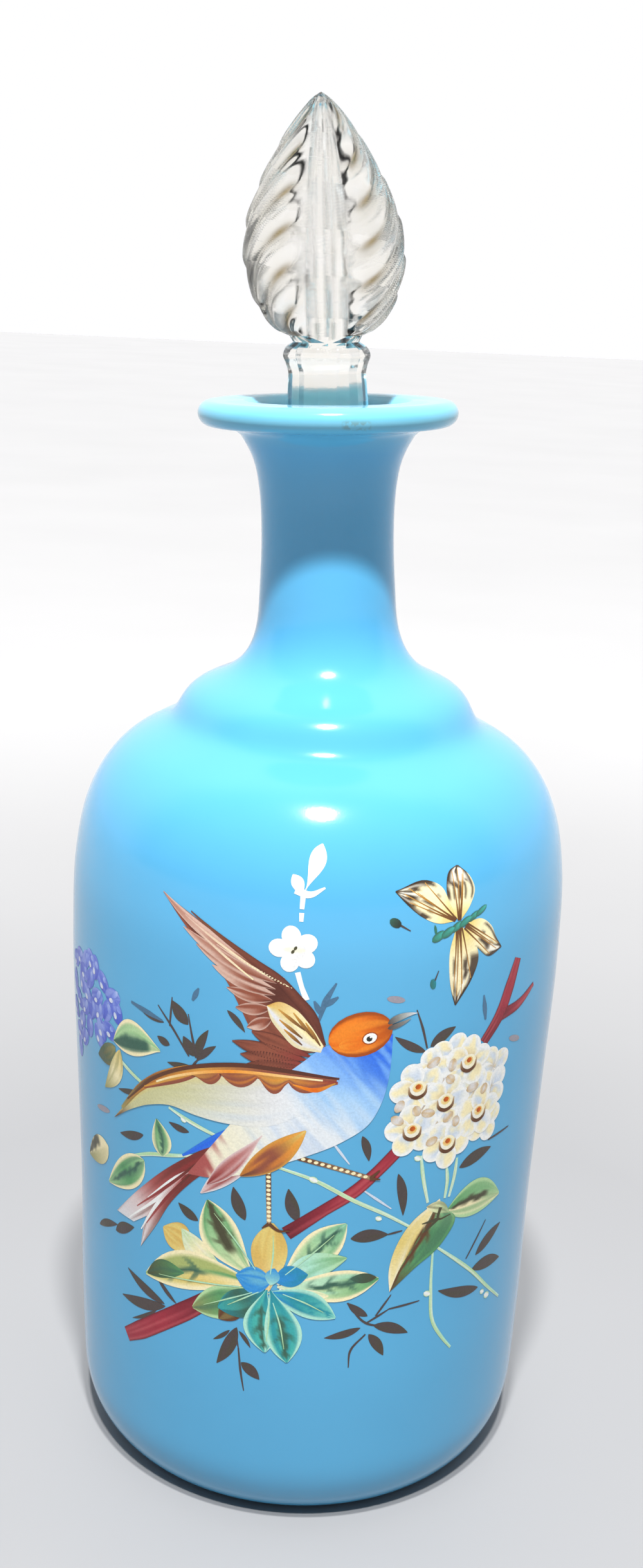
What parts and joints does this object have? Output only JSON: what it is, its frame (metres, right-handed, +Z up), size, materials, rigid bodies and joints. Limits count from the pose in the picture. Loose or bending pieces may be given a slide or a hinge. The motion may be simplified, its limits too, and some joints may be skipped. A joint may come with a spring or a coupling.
{
  "type": "dresser bottle",
  "caption": "Cylindrical opaque glass bottle with a rounded shoulder, domed collar, slim neck and wide flat lip, closed by a clear leaf-shaped glass stopper that lifts off.",
  "frame": {"origin": "centre of the foot, on the surface that the bottle stands on", "axes": "+Z up along the body's axis, -Y the painted front, +X to the right seen from the front"},
  "size_m": [0.09, 0.09, 0.2439],
  "materials": {
    "opaline": "glossy opaque blue opaline glass",
    "clear_glass": "polished clear glass"
  },
  "bodies": {
    "root": {"bottle": "opaline", "stopper": "clear_glass"}
  },
  "joints": []
}
